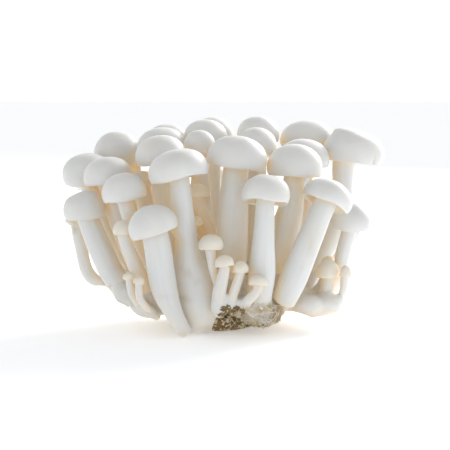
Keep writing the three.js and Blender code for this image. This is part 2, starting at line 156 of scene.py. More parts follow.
# Mushroom flesh
# Caps, gills and stems are one firm white tissue that lets a little light through. It is cool white on the
# stems, with fine long fibres, faintly grey on the crowns, and cream on small caps. Where other mushrooms
# stand close round it, painted tan shade and a faint painted tan glow stand in for the light that only
# reaches it through them. Cap undersides are tinted tan: partly the gills' cream, partly painted shade under
# the caps.
STEM_WHITE, CAP_WHITE = (0.70, 0.71, 0.705), (0.72, 0.72, 0.705)
CREAM_STEM, CREAM_CAP = (0.72, 0.71, 0.68), (0.77, 0.735, 0.65)
UNDERSIDE_SHADE_AND_TORN_TAN, PAINTED_GAP_SHADE_AND_GLOW = (0.88, 0.73, 0.51), (1.0, 0.78, 0.48)
SCAR_BROWN = (0.42, 0.27, 0.10)
FIBRE_DIM, MOTTLE_DIM, BLOT_DIM = 0.965, 0.95, (0.97, 0.9, 0.76)  # how each pattern darkens the flesh
FIBRE_REPEATS = (30, 6, 1)  # the fibre pattern's repeats round and along a mushroom
LIGHT_DEPTH, CREAM_LIGHT_DEPTH = 0.5 * MM, 0.4 * MM  # how far light goes into the flesh
SHADE_REACH = 30 * MM  # how near other flesh has to be for painted tan shade on a surface
SHADE_SAMPLES = 6
PAINTED_GAP_GLOW = 0.085  # painted glow in a gap, standing in for the light that comes into it through the flesh round it
TABLE_LIT, TABLE_LIT_END = 4 * MM, 20 * MM  # the painted gap shade and glow are held back from the one height down,
TABLE_LIT_SHARE = 0.85  # by this share, and less and less up to the other


def noise_pattern(tree, place, scale, detail, roughness=0.5):
    """A cloudy pattern from 0 to 1"""
    look = {"Vector": place, "Scale": scale, "Detail": detail, "Roughness": roughness}
    return add_node(tree, "TexNoise", "Fac", look)


def ramp(tree, value, stops):
    """A colour for a value, between stops of (value, colour) in their order"""
    tone = tree.nodes.new("ShaderNodeValToRGB")
    first, last = tone.color_ramp.elements
    first.position, first.color = stops[0][0], (*stops[0][1], 1)
    last.position, last.color = stops[-1][0], (*stops[-1][1], 1)
    for at, colour in stops[1:-1]:
        tone.color_ramp.elements.new(at).color = (*colour, 1)
    feed(tone, {"Fac": value})
    return tone.outputs["Color"]


def mix(tree, share, first, second):
    """The first colour at a share of 0, and the second at 1"""
    return add_node(tree, "Mix", "Result", {"Factor": share, "A": first, "B": second}, data_type="RGBA")


def point_layer(tree, name):
    """The values that a piece's points carry under a name"""
    return add_node(tree, "Attribute", "Fac", {}, attribute_name=name)


def openness(tree, closed, open_air):
    """0 where other flesh stands all round a place, and 1 where it is free; it masks the painted shade"""
    nearness = add_node(tree, "AmbientOcclusion", "AO", {"Distance": SHADE_REACH}, samples=SHADE_SAMPLES)
    return fade(tree, nearness, closed, open_air, 0, 1)


def relief(tree, height, strength, depth, **under):
    """A bump from a pattern, over another bump where that is given as Normal"""
    inputs = {"Height": height, "Strength": strength, "Distance": depth, **under}
    return add_node(tree, "Bump", "Normal", inputs)


def flesh_finish(name, depth, stem_colour, cap_colour):
    """The flesh material. It follows a skin's UV map: u goes round the mushroom and v from foot to crown."""
    finish, tree, shader = new_finish(name, {
        "Roughness": 0.52, "Specular IOR Level": 0.4, "Sheen Weight": 0.2, "Sheen Roughness": 0.35,
        "Subsurface Weight": 0.5, "Subsurface Radius": (1.0, 0.7, 0.42), "Subsurface Scale": depth})
    place = add_node(tree, "TexCoord", "Object", {})
    uv = add_node(tree, "UVMap", "UV", {}, uv_map="along")
    stretched = add_node(tree, "Mapping", "Vector", {"Vector": uv, "Scale": FIBRE_REPEATS})
    fibres = noise_pattern(tree, stretched, 1, 3)
    mottle = noise_pattern(tree, place, 130, 6)
    blots = fade(tree, noise_pattern(tree, place, 55, 3), 0.56, 0.75, 0, 0.35)
    cap_share = point_layer(tree, "cap")

    stem = ramp(tree, fibres, [(0.32, np.multiply(stem_colour, FIBRE_DIM)), (0.6, stem_colour)])
    cap = ramp(tree, mottle, [(0.35, np.multiply(cap_colour, MOTTLE_DIM)), (0.65, cap_colour)])
    body = mix(tree, cap_share, stem, cap)
    # cap undersides: partly the gills' cream, partly painted shade under the cap; on the torn stem, its real
    # yellowish torn edge
    body = mix(tree, point_layer(tree, "under"), body, UNDERSIDE_SHADE_AND_TORN_TAN)
    body = mix(tree, blots, body, np.multiply(cap_colour, BLOT_DIM))
    body = mix(tree, point_layer(tree, "scar"), body, SCAR_BROWN)

    # the painted tan shade and glow are held back in the open, near the table, and where stems are grown
    # together
    height = add_node(tree, "SeparateXYZ", "Z", {"Vector": place})
    near_floor = fade(tree, height, TABLE_LIT, TABLE_LIT_END, TABLE_LIT_SHARE, 0)
    white_share = calculate(tree, "MAXIMUM", openness(tree, 0.06, 0.42), near_floor)
    white_share = calculate(tree, "MAXIMUM", white_share, point_layer(tree, "fused"))

    fibre_height = calculate(tree, "MULTIPLY", calculate(tree, "SUBTRACT", 1, cap_share), fibres)
    fibre_relief = relief(tree, fibre_height, 0.1, 0.2 * MM)
    grain_relief = relief(tree, noise_pattern(tree, place, 900, 3), 0.12, 0.15 * MM, Normal=fibre_relief)
    # painted shade and glow: where other flesh is close, the colour turns tan and the flesh glows faintly
    # tan
    feed(shader, {
        "Base Color": mix(tree, white_share, PAINTED_GAP_SHADE_AND_GLOW, body), "Normal": grain_relief,
        "Emission Color": PAINTED_GAP_SHADE_AND_GLOW, "Emission Strength": fade(tree, white_share, 0, 1, PAINTED_GAP_GLOW, 0)})
    return finish


flesh = flesh_finish("mushroom_flesh", LIGHT_DEPTH, STEM_WHITE, CAP_WHITE)
cream_flesh = flesh_finish("button_flesh", CREAM_LIGHT_DEPTH, CREAM_STEM, CREAM_CAP)


# The mushroom skins
# Every solid mushroom is a stack of rings: foot, stem, gills, lip, dome and crown. A finer skin is
# modelled once as a straight sleeve, closed at both ends. A copy of it is then drawn over each solid's
# rings and keeps their form, with thin gills, a rolled lip, a round dome and a slightly uneven stem.
SAME_POINT = 1e-6  # points of a solid's loose triangles that are nearer than this are one point
CROWN_DEPTH = 6 * MM  # a crown lies at most this far below its solid's highest point

Ring = collections.namedtuple("Ring", "middle facing radius count")


@functools.cache
def solid_rings(node):
    """The middle, facing, radius and number of points of each ring of a solid, from the foot to the crown"""
    shell = bmesh.new()
    shell.from_mesh(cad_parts[node].data)
    bmesh.ops.remove_doubles(shell, verts=shell.verts, dist=SAME_POINT)
    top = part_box(node)[1].z
    near_top = [v for v in shell.verts if v.co.z > top - CROWN_DEPTH]
    crown = max(near_top, key=lambda v: (len(v.link_faces), v.co.z))
    loops, seen, loop = [], {crown}, [crown]
    while loop:
        loops.append(np.array([v.co for v in loop]))
        next_loop = {w for v in loop for f in v.link_faces for w in f.verts} - seen
        loop = sorted(next_loop, key=lambda v: v.co[:])  # an order that is the same in each run
        seen.update(loop)
    shell.free()
    loops.reverse()
    middles = np.array([points.mean(0) for points in loops])
    rings = []
    for k, points in enumerate(loops):
        ahead = middles[min(k + 1, len(loops) - 1)] - middles[max(k - 1, 0)]
        facing = ahead / np.linalg.norm(ahead)
        if len(points) > 2:
            flat = np.linalg.svd(points - middles[k])[2][2]
            facing = flat * np.sign(flat @ (middles[-1] - middles[-3]))
        radius = np.linalg.norm(points - middles[k], axis=1).mean() if len(points) > 1 else 0.0
        rings.append(Ring(middles[k], facing, radius, len(points)))
    return rings


def sleeve(name, columns, rows):
    """A straight closed sleeve of unit steps: its height counts the rows, and both ends are poles"""
    bpy.ops.object.select_all(action="DESELECT")
    bpy.ops.mesh.primitive_circle_add(vertices=columns, radius=1, location=(0, 0, 1))
    made = bpy.context.object
    made.name = name
    bpy.ops.object.mode_set(mode="EDIT")
    bpy.ops.mesh.select_all(action="SELECT")
    for _ in range(rows - 2):
        bpy.ops.mesh.extrude_region_move(TRANSFORM_OT_translate={"value": (0, 0, 1)})
    bpy.ops.mesh.merge(type="CENTER")
    bpy.ops.mesh.select_non_manifold()
    bpy.ops.mesh.extrude_region_move(TRANSFORM_OT_translate={"value": (0, 0, -1)})
    bpy.ops.mesh.merge(type="CENTER")
    bpy.ops.mesh.select_all(action="SELECT")
    bpy.ops.mesh.normals_make_consistent(inside=False)
    bpy.ops.object.mode_set(mode="OBJECT")
    bpy.ops.object.transform_apply(location=True, rotation=False, scale=False)
    bpy.ops.object.shade_smooth()
    mesh = made.data
    place = np.array([v.co for v in mesh.vertices])
    row = np.rint(place[:, 2]).astype(int)
    turn = np.arctan2(place[:, 1], place[:, 0]) / (2 * math.pi)
    column = np.floor(turn * columns + 0.01).astype(int) % columns  # the circle may start half a column on
    around = mesh.uv_layers.new(name="along")
    for face in mesh.polygons:
        at = [column[v] for v in face.vertices if 0 < row[v] < rows - 1]
        for corner in face.loop_indices:
            v = mesh.loops[corner].vertex_index
            u = column[v] if 0 < row[v] < rows - 1 else sum(at) / len(at)
            u += columns if max(at) - min(at) > columns / 2 and u < columns / 2 else 0
            around.data[corner].uv = (u / columns, row[v] / (rows - 1))
    return made, row, column


def upright_to(facing):
    """The shortest turn from straight up to each facing, as stacked 3 by 3 matrices"""
    x, y, z = facing.T
    k = 1 / (1 + z)
    rows = [[z + y * y * k, -x * y * k, x], [-x * y * k, z + x * x * k, y], [-x, -y, z]]
    return np.moveaxis(np.array(rows), 2, 0)


def turned_to(facing, row, local):
    """Points turned with the facing of the row that each belongs to"""
    return np.einsum("nij,nj->ni", upright_to(facing)[row], local)


def flat_circle(angle, out):
    """Points that lie flat at an angle and a distance from the middle, with 0 at the front"""
    return np.stack([np.sin(angle) * out, -np.cos(angle) * out, np.zeros(len(out))], 1)


def through(values, at):
    """A smooth curve through evenly spaced values, read at any places along it"""
    values = np.asarray(values, float)
    at = np.clip(at, 0, len(values) - 1 - 1e-9)
    k = at.astype(int)
    f = (at - k)[:, None] if values.ndim > 1 else at - k
    a, b, c, d = (values[np.clip(k + j, 0, len(values) - 1)] for j in (-1, 0, 1, 2))
    return b + 0.5 * f * (c - a + f * (2 * a - 5 * b + 4 * c - d + f * (3 * (b - c) + d - a)))


WAVES, WAVES_PEAK = 7, 2.6  # the waves in a sum, and about how high the sum rises


def uneven(seed, angle, along, waves_round, waves_along):
    """Smooth unevenness from about -1 to 1 round and along a mushroom, as a sum of seeded waves"""
    draw = random.Random(seed)
    total = np.zeros(len(angle))
    for _ in range(WAVES):
        turns = draw.randint(1, waves_round)
        rise = draw.uniform(-waves_along, waves_along)
        start = draw.uniform(0, 2 * math.pi)
        total += draw.uniform(0.5, 1) * np.sin(turns * angle + rise * 2 * math.pi * along + start)
    return total / WAVES_PEAK


def drawn_copy(template, name, place):
    """A copy of a sleeve, with a mesh of its own whose points are moved to new places"""
    made = template.copy()
    made.data = template.data.copy()
    made.name = made.data.name = name
    bpy.context.scene.collection.objects.link(made)
    made.data.vertices.foreach_set("co", place.astype(np.float32).ravel())
    return made


def grow_skin(node, template, place, finish, layers):
    """The skin that stands for a solid: its shape, its finish and what its points carry for the finish"""
    skin = drawn_copy(template, node + "_skin", place)
    for name, values in layers.items():
        layer = skin.data.attributes.new(name, "FLOAT", "POINT")
        layer.data.foreach_set("value", values.astype(np.float32))
    skin.data.update()
    skin.data.materials.append(finish)
    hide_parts(node)
    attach(skin, "root")


# What the solids' rings are
STEM_POINTS = 8  # points in each ring of a solid stem
BUTTON_CAP_RINGS = 4  # rings of a button's cap that have no more points than its stem
LIP_RING, WIDEST_RING = 3, 4  # the lip and the cap's widest place, counted from the stem's top ring

# Rows of the sleeve in each stretch of a mushroom
FOOT_ROWS, STEM_ROWS, NECK_ROWS, GILL_ROWS, LIP_ROWS, DOME_ROWS = 6, 34, 3, 6, 7, 13
CAP_START = FOOT_ROWS + STEM_ROWS
GILL_START = CAP_START + NECK_ROWS
LIP_START = GILL_START + GILL_ROWS
SKIN_ROWS = LIP_START + LIP_ROWS + DOME_ROWS
GILL_COLUMNS = 3  # columns of the sleeve from one gill to the next
CAP_GILLS, BUTTON_GILLS = 46, 26

# The cap's section, as shares of its radius and of its height: (out, up)
NECK = [(0.01, -0.005), (0.03, -0.02), (0.07, -0.035)]  # beyond the stem's radius and top
GILL_END_RISE, GILL_ARCH = 0.06, 1.4
GILL_EDGE = 0.845  # radius at which the gills meet the lip
GILL_DEPTH = 0.06  # how far a gill stands down, as a share of the cap's radius
LIP = [(0.86, 0.045), (0.885, 0.01), (0.91, 0.0), (0.935, 0.015), (0.96, 0.055), (0.98, 0.11), (0.993, 0.17)]
WIDEST = 0.24  # height of the cap's widest place
CAP_MIDDLE = 0.8  # from here outwards the rows are centred on the cap, and no longer on the stem
DOME_POWER = 2.1  # roundness of the dome

# How far a skin strays from a true round, as shares of its radius
STEM_LUMPS, CAP_LUMPS, CAP_WAVES = 0.04, 0.028, 0.028
GROOVE_DEPTH = 0.035 * MM
CROWN_ROWS = 8  # the rows over which a cap's lumps fade out below its crown
FOOT_POWER, SWELL_POWER = 0.7, 0.4  # roundness of a stem's foot, and of a full stem's side
UNDER_SHARE = 0.6  # how far a cap's underside is tinted tan: partly the gills' cream, partly painted shade under the cap
CAP_FADE_ROWS = 4  # the rows over which a lip turns from the stem's white to the cap's

# The lowest front stem swells to a broad club: (height, left, right) in millimetres, from the top down
CLUB = np.array([
    (36, -17.4, -9.6), (31, -17.6, -9.0), (26.8, -19.0, -8.0), (24, -19.4, -6.2), (20.4, -19.6, -3.8),
    (16.9, -19.2, -2.1), (13.3, -18.3, -1.0), (9.8, -17.0, -1.0), (6.3, -15.2, -2.2), (3.4, -13.6, -3.6),
    (1.0, -12.6, -4.4)])

FULLER = {"button_19": 1.5, "mushroom_08": 1.35, "mushroom_11": 1.15}  # stems that are thicker half-way up
FUSED = ("mushroom_01", "mushroom_03", "torn_stem")  # grown together low down; the painted gap shade is held back on them
FUSED_SHARE, FUSED_HEIGHT, FUSED_FADE = 0.8, 36 * MM, 8 * MM

# Cracks, tears, bruises and broken-off places: (centre, size) in millimetres, depth, share of brown
MARKS = {
    "mushroom_01": [
        ((-15.2, -33, 24.0), (1.3, 3, 0.9), 0.5, 0.30), ((-12.6, -33, 22.6), (1.8, 3, 0.9), 0.5, 0.25),
        ((-9.7, -33, 20.3), (1.8, 3, 0.9), 0.4, 0.18), ((-14.4, -32, 13.9), (2.6, 4, 0.8), 0.7, 0.32),
        ((-6.2, -29, 2.8), (2.2, 4, 1.3), 0.3, 0.4)],
    "mushroom_03": [
        ((-20.6, -40, 15.6), (2.6, 3, 0.8), 0.35, 0.12), ((-14.2, -35, 1.8), (2.2, 4, 1.4), 0, 0.2)],
    "mushroom_14": [
        ((-41.0, -14, 15.1), (1.6, 4, 1.1), 0.4, 0.7), ((-35.8, -16, 13.7), (1.6, 4, 1.4), 0.2, 0.3)],
    "mushroom_15": [((11.5, -37, 20.0), (0.8, 3, 2.5), 0.1, 0.08)],
    "mushroom_18": [
        ((30.1, -31, 31.9), (1.5, 4, 3.6), 0.15, 0.16), ((26.8, -30, 24.5), (0.7, 3, 1.6), 0.1, 0.1)],
    "mushroom_19": [
        ((55.0, 2.6, 59.4), (0.5, 4, 1.7), 0.8, 0.3), ((54.0, 2.6, 57.2), (2.6, 4, 0.9), 0.5, 0.4)],
    "button_01": [((-23.8, -28.6, 9.7), (2.2, 4, 1.2), 0.3, 0.6)],
    "button_02": [
        ((-57.6, -10, 36.8), (1.0, 5, 1.3), 1.4, 0.25), ((-54.2, -10, 36.2), (1.2, 5, 1.5), 1.0, 0.3),
        ((-56.4, -10, 41.5), (1.6, 5, 1.0), 0.8, 0.15)],
    "button_07": [((4.6, -41, 27.0), (1.2, 3, 0.9), 0.5, 0.05), ((2.2, -41, 25.2), (0.8, 3, 1.2), 0.5, 0.1)],
}


def cap_section(slim, neck_rise):
    """The cap's section from the neck over the gills, lip and dome to the crown: shares out and up"""
    section = [(slim + out, neck_rise + up) for out, up in NECK]
    flare, dip = NECK[-1]
    for k in range(GILL_ROWS):
        share = (k + 1) / GILL_ROWS
        rise = (neck_rise + dip) * (1 - share**GILL_ARCH) + GILL_END_RISE * share
        section.append((slim + flare + (GILL_EDGE - slim - flare) * share, rise))
    section += LIP
    for k in range(DOME_ROWS - 1):
        turn = math.pi / 2 * k / (DOME_ROWS - 1)
        side = math.cos(turn) ** (2 / DOME_POWER)
        section.append((side, WIDEST + (1 - WIDEST) * math.sin(turn) ** (2 / DOME_POWER)))
    return np.array(section + [(0, 1)]).T


def skin_over(node, template, row, column, gills, seed):
    """The sleeve drawn over a solid mushroom's rings"""
    rings = solid_rings(node)
    stem_count = sum(ring.count == STEM_POINTS for ring in rings)
    stem_count -= 0 if gills == CAP_GILLS else BUTTON_CAP_RINGS
    stem = rings[1:1 + stem_count]
    neck, lip, crown = stem[-1], rings[stem_count + LIP_RING], rings[-1]
    axis = rings[-3].facing
    reach = rings[stem_count + WIDEST_RING].radius
    dome = (crown.middle - lip.middle) @ axis
    neck_rise = (neck.middle - lip.middle) @ axis / dome

    # the foot is rounded, and the stem follows its solid
    middle, facing, radius = np.zeros((SKIN_ROWS, 3)), np.zeros((SKIN_ROWS, 3)), np.zeros(SKIN_ROWS)
    turn = np.linspace(0, math.pi / 2, FOOT_ROWS, endpoint=False)
    foot_drop = (stem[0].middle - rings[0].middle) @ stem[0].facing
    middle[:FOOT_ROWS] = stem[0].middle - np.outer(np.cos(turn) ** FOOT_POWER * foot_drop, stem[0].facing)
    facing[:FOOT_ROWS] = stem[0].facing
    radius[:FOOT_ROWS] = np.sin(turn) ** FOOT_POWER * stem[0].radius
    at = np.linspace(0, stem_count - 1, STEM_ROWS)
    stretch = slice(FOOT_ROWS, CAP_START)
    middle[stretch] = through([ring.middle for ring in stem], at)
    facing[stretch] = through([ring.facing for ring in stem[:-1]] + [axis], at)
    swell = (FULLER.get(node, 1) - 1) * np.sin(np.linspace(0, math.pi, STEM_ROWS)) ** SWELL_POWER
    radius[stretch] = through([ring.radius for ring in stem], at) * (1 + swell)

    # the cap's rows go from the stem's line over to the cap's own middle
    share, rise = cap_section(neck.radius / reach, neck_rise)
    spread = np.clip((share * reach - neck.radius) / (CAP_MIDDLE * reach - neck.radius), 0, 1)[:, None]
    stem_line = neck.middle - axis * neck_rise * dome
    middle[CAP_START:] = stem_line * (1 - spread) + lip.middle * spread + np.outer(rise * dome, axis)
    facing[CAP_START:] = axis
    radius[CAP_START:] = share * reach
    facing /= np.linalg.norm(facing, axis=1)[:, None]

    # each point of the sleeve goes out from its row's middle
    angle = (column / (gills * GILL_COLUMNS) + 0.5) * 2 * math.pi  # the seam lies at the back
    along = row / SKIN_ROWS
    on_cap = row >= CAP_START
    on_gills = (row >= GILL_START - 1) & (row < LIP_START - 1)
    below_crown = np.minimum((SKIN_ROWS - 1 - row) / CROWN_ROWS, 1)
    lumps = uneven(seed, angle, along, 3, 1.6)
    grooves = uneven(seed + 40, angle, along, 10, 1.2)
    out = radius[row] * (1 + STEM_LUMPS * lumps * ~on_cap + CAP_LUMPS * lumps * on_cap * below_crown)
    out += GROOVE_DEPTH * grooves * ~on_cap * (row > FOOT_ROWS)
    local = flat_circle(angle, out)
    long_gill = (column // GILL_COLUMNS) % 2 == 0  # every other gill stops half-way to the stem
    gill = (column % GILL_COLUMNS == 0) & on_gills & (long_gill | (row >= GILL_START + GILL_ROWS // 2))
    local[:, 2] -= gill * GILL_DEPTH * reach
    local[:, 2] += on_cap * below_crown * CAP_WAVES * reach * uneven(seed + 80, angle, along, 4, 1.5)
    turned = turned_to(facing, row, local)
    place = middle[row] + turned
    if node == "mushroom_01":
        low = (row < CAP_START) & (place[:, 2] < CLUB[0][0] * MM)
        left, right = (np.interp(-middle[row, 2] / MM, -CLUB[:, 0], CLUB[:, k]) * MM for k in (1, 2))
        share = turned[:, 0] / np.maximum(radius[row], 0.5 * MM)
        place[low, 0] = ((left + right) / 2 + share * (right - left) / 2)[low]
    scar = np.zeros(len(row))
    inward = -turned / np.maximum(np.linalg.norm(turned, axis=1), 1e-9)[:, None]
    for centre, size, dent, brown in MARKS.get(node, ()):
        near = np.exp(-((((place / MM - centre) / size) ** 2).sum(1)))
        place += inward * (dent * MM * near)[:, None]
        scar += brown * near
    grow_skin(node, template, place, flesh if gills == CAP_GILLS else cream_flesh, {
        "cap": np.clip((row - LIP_START) / CAP_FADE_ROWS, 0, 1),
        "under": (on_cap & (row < LIP_START)) * UNDER_SHARE,
        "scar": scar,
        "fused": FUSED_SHARE * (node in FUSED) * np.clip((FUSED_HEIGHT - place[:, 2]) / FUSED_FADE, 0, 1)})


cap_sleeve = sleeve("cap_sleeve", CAP_GILLS * GILL_COLUMNS, SKIN_ROWS)
button_sleeve = sleeve("button_sleeve", BUTTON_GILLS * GILL_COLUMNS, SKIN_ROWS)
stems = []
for seed, node in enumerate(sorted(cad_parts)):
    if node.startswith("mushroom"):
        skin_over(node, *cap_sleeve, CAP_GILLS, seed)
        stems.append(node)
    elif node.startswith("button"):
        skin_over(node, *button_sleeve, BUTTON_GILLS, seed)
        stems.append(node)


# The torn stem
# One stem has lost its cap. It is the same flesh as the others, torn across: its upper end is a ragged
# yellowish edge round a shallow hollow.
TORN_TOP_ROWS = 12  # rows of the sleeve that are folded into the hollow
TORN_EDGE_ROWS = 3.0
TORN_RAGGED, TORN_LUMPS = 1.2 * MM, 0.06
HOLLOW_DEPTH, HOLLOW_WIDTH = 3.5 * MM, 0.9
TORN_TAN, TORN_BROWN = 0.7, 0.35
TORN_SEED = 99


def torn_skin(node, template, row, column, seed):
    """The sleeve drawn over a solid stem, and folded in at the top behind a ragged edge"""
    rings = solid_rings(node)[1:-1]
    at = np.linspace(0, len(rings) - 1, SKIN_ROWS - TORN_TOP_ROWS)
    middle = through([ring.middle for ring in rings], at)
    facing = through([ring.facing for ring in rings], at)
    radius = through([ring.radius for ring in rings], at)
    radius[0] = 0
    fold = np.linspace(0, 1, TORN_TOP_ROWS)
    hollow = np.outer(np.sin(fold * math.pi / 2) * HOLLOW_DEPTH, facing[-1])
    middle = np.vstack([middle, middle[-1] - hollow])
    facing = np.vstack([facing, np.repeat(facing[-1:], TORN_TOP_ROWS, 0)])
    radius = np.append(radius, radius[-1] * (1 - fold) * HOLLOW_WIDTH)
    facing /= np.linalg.norm(facing, axis=1)[:, None]
    angle = column / (BUTTON_GILLS * GILL_COLUMNS) * 2 * math.pi
    along = row / SKIN_ROWS
    edge = np.exp(-((row - (SKIN_ROWS - TORN_TOP_ROWS)) / TORN_EDGE_ROWS) ** 2)
    out = radius[row] * (1 + TORN_LUMPS * uneven(seed, angle, along, 3, 1.6))
    local = flat_circle(angle, out)
    local[:, 2] += edge * TORN_RAGGED * uneven(seed + 1, angle, along, 9, 0.4)
    grow_skin(node, template, middle[row] + turned_to(facing, row, local), flesh, {
        "cap": 0 * edge, "under": TORN_TAN * edge, "scar": TORN_BROWN * edge,
        "fused": np.full(len(row), FUSED_SHARE)})


torn_skin("torn_stem", *button_sleeve, TORN_SEED)
stems.append("torn_stem")


# The fused foot
# All the stems grow out of one lump of the same tissue, felted with mycelium. Its solid is joined with a
# swelling round each stem's lower end, remeshed into one skin and smoothed, so the stems flow into it.
FOOT_GRAIN = 0.65 * MM  # size of the foot's mesh
FREE_FEET = ("mushroom_01", "mushroom_03", "mushroom_18")  # their lower ends hang clear of the foot
SWELLING_LENGTH = 13 * MM
SWELLING_FULL, SWELLING_TAPER = 1.0, 1.6  # millimetres added at the bottom, and lost again up to the top
SWELLING_RINGS = 4  # the lowest rings of a solid stem, which hold its swelling
SWELLING_ROWS, SWELLING_COLUMNS = 12, 20
RING_STEPS = 60

swelling_sleeve = sleeve("swelling_sleeve", SWELLING_COLUMNS, SWELLING_ROWS)


def swelling(node, template, row, column):
    """A stem's lower end, thickened at the bottom and drawn in at the top, where it ends inside the stem"""
    rings = [ring for ring in solid_rings(node)[1:] if ring.count == STEM_POINTS][:SWELLING_RINGS]
    steps = np.linspace(0, len(rings) - 1, RING_STEPS)
    fine = through([ring.middle for ring in rings], steps)
    length = np.append(0, np.cumsum(np.linalg.norm(np.diff(fine, axis=0), axis=1)))
    at = np.interp(np.linspace(0, SWELLING_LENGTH, SWELLING_ROWS), length, steps)
    middle = through([ring.middle for ring in rings], at)
    facing = through([ring.facing for ring in rings], at)
    facing /= np.linalg.norm(facing, axis=1)[:, None]
    share = np.linspace(0, 1, SWELLING_ROWS)
    radius = through([ring.radius for ring in rings], at) + (SWELLING_FULL - SWELLING_TAPER * share) * MM
    radius[[0, -1]] = 0
    local = flat_circle(column / SWELLING_COLUMNS * 2 * math.pi, radius[row])
    return drawn_copy(template, node + "_swelling", middle[row] + turned_to(facing, row, local))


def merged_copy(node, name):
    """A copy of a CAD node's mesh, with its loose triangles merged"""
    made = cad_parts[node].copy()
    made.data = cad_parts[node].data.copy()
    made.parent = None
    made.name = made.data.name = name
    made.data.materials.clear()
    for key in list(made.keys()):
        del made[key]
    bpy.context.scene.collection.objects.link(made)
    bpy.ops.object.select_all(action="DESELECT")
    made.select_set(True)
    bpy.context.view_layer.objects.active = made
    bpy.ops.object.mode_set(mode="EDIT")
    bpy.ops.mesh.select_all(action="SELECT")
    bpy.ops.mesh.remove_doubles(threshold=SAME_POINT)
    bpy.ops.object.mode_set(mode="OBJECT")
    return made


def apply_modifier(piece, kind, **settings):
    """One modifier, added and applied"""
    bpy.ops.object.select_all(action="DESELECT")
    piece.select_set(True)
    bpy.context.view_layer.objects.active = piece
    modifier = piece.modifiers.new(kind.lower(), kind)
    for setting, value in settings.items():
        setattr(modifier, setting, value)
    bpy.ops.object.modifier_apply(modifier=modifier.name)


foot = merged_copy("stem_foot", "stem_foot_skin")
# a mat of mycelium right of the block, and the lobes of the two lumps: (centre, half sizes)
LOBES = [
    ((13.5, -20.0, 8.0), (7.2, 9.5, 5.3)), ((18.0, -15.0, 8.5), (4.5, 6, 3.6)),
    ((9.0, -22.0, 9.5), (5, 5, 5)), ((38.0, -11.0, 9.3), (5.2, 6, 4.2)), ((30.0, -13.0, 9.0), (6.5, 6, 3.6)),
    ((-27.0, -21.0, 9.8), (7, 5.5, 4.2)), ((-35.0, -16.0, 13.5), (5.5, 5, 4.0))]
lobes = []
for centre, half in LOBES:
    bpy.ops.object.select_all(action="DESELECT")
    fit = {"location": Vector(centre) * MM, "scale": Vector(half) * MM}
    bpy.ops.mesh.primitive_ico_sphere_add(subdivisions=4, radius=1, **fit)
    bpy.ops.object.transform_apply(location=True, rotation=False, scale=True)
    lobes.append(bpy.context.object)
swellings = [swelling(node, *swelling_sleeve) for node in stems if node not in FREE_FEET]
bpy.ops.object.select_all(action="DESELECT")
for piece in swellings + lobes + [foot]:
    piece.select_set(True)
bpy.context.view_layer.objects.active = foot
bpy.ops.object.join()
apply_modifier(foot, "REMESH", mode="VOXEL", voxel_size=FOOT_GRAIN)
apply_modifier(foot, "SMOOTH", factor=0.6, iterations=10)
bpy.ops.object.shade_smooth()

# the relief of the foot and the shags of the mat: (size, height) of each layer of noise
FOOT_RELIEF = [(8 * MM, 0.7 * MM), (3 * MM, 0.25 * MM), (1.1 * MM, 0.08 * MM)]
SHAGS = [(2.2, 1.4), (0.9, 0.7)]  # in millimetres
MAT_LEFT, MAT_RIGHT, MAT_BACK, MAT_TOP, MAT_FADE = 4.5, 22, -12, 13, 2  # where the mat ends, in millimetres


def layered(at, layers):
    """Smooth noise at a place, in layers of (size, height)"""
    return sum(height * noise.noise(at / size) for size, height in layers)


def points_and_normals(piece):
    """Every point of a skin with its normal from before any of them moves"""
    return [(v, v.normal.copy()) for v in piece.data.vertices]


def on_mat(at):
    """How much a place, in millimetres, belongs to the mat of mycelium: 0 to 1"""
    inside = (at.x - MAT_LEFT, MAT_RIGHT - at.x, MAT_BACK - at.y, MAT_TOP - at.z)
    return math.prod(min(max(depth / MAT_FADE, 0), 1) for depth in inside)


for vertex, normal in points_and_normals(foot):
    vertex.co += normal * layered(vertex.co, FOOT_RELIEF)
foot.data.update()
for vertex, normal in points_and_normals(foot):
    at = vertex.co / MM
    vertex.co += normal * layered(at, SHAGS) * on_mat(at) * MM
foot.data.update()

# where the felt is darker: on faces that point down, and where it is old, in patches and on the mat towards
# its ragged right edge
PATCHES = [(4, 1), (1.5, 0.5)]
RAGGED_EDGE = 15.0

aged = foot.data.attributes.new("aged", "FLOAT", "POINT")
ages = []
for vertex in foot.data.vertices:
    at = vertex.co / MM
    patch = layered(at, PATCHES)
    underneath = max(0, -vertex.normal.z - 0.45) * 0.35
    in_patches = max(0, patch - 0.45) * 0.4
    mat_age = 0.38 + 0.6 * patch + max(0, at.x - RAGGED_EDGE) * 0.14
    ages.append(underneath + in_patches + on_mat(at) * mat_age)
aged.data.foreach_set("value", np.clip(ages, 0, 1).astype(np.float32))

FELT_TONES = [
    (0.05, (0.70, 0.70, 0.675)), (0.35, (0.59, 0.57, 0.52)), (0.62, (0.49, 0.43, 0.31)),
    (0.95, (0.36, 0.27, 0.15))]  # white, cream, beige, and brown where it was cut or bruised
FELT_SHADE = (0.75, 0.64, 0.49)


